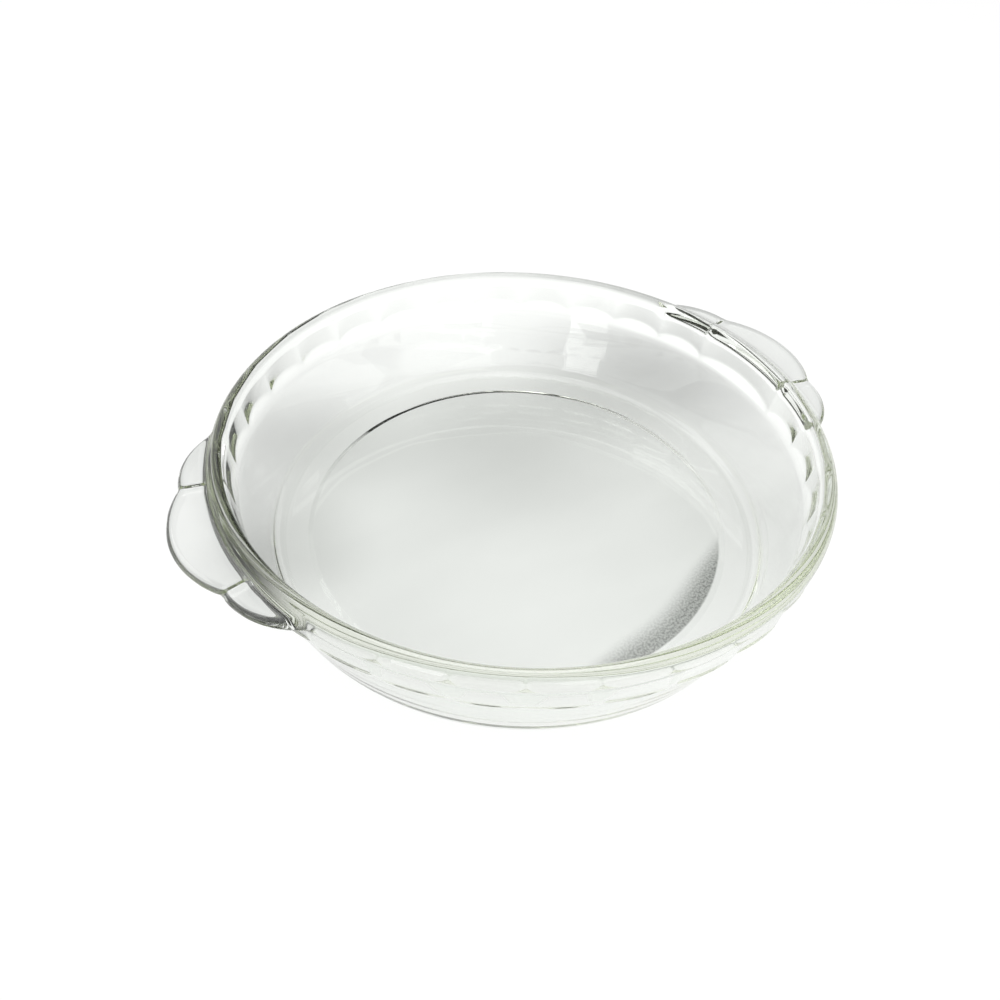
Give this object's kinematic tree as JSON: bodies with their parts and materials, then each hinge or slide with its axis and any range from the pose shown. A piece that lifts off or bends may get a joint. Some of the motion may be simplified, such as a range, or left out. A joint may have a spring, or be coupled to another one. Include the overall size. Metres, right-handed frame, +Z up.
{
  "type": "pie dish",
  "caption": "Round clear glass pie dish with a thick rounded lip, a fluted band under it, a sloping side wall, a flat floor on a ring foot and a lobed lug handle on each side.",
  "frame": {"origin": "middle of the plane that the dish stands on", "axes": "+Z up through the middle of the dish; the handles lie along X, with handle_right at +X"},
  "size_m": [0.2742, 0.24, 0.0545],
  "materials": {
    "clear_glass": "clear pressed glass with a faint green tint, fire-polished"
  },
  "bodies": {
    "root": {"base_floor": "clear_glass", "foot_ring": "clear_glass", "side_wall": "clear_glass", "fluted_band": "clear_glass", "rim_lip": "clear_glass", "handle_right": "clear_glass", "handle_left": "clear_glass"}
  },
  "joints": []
}
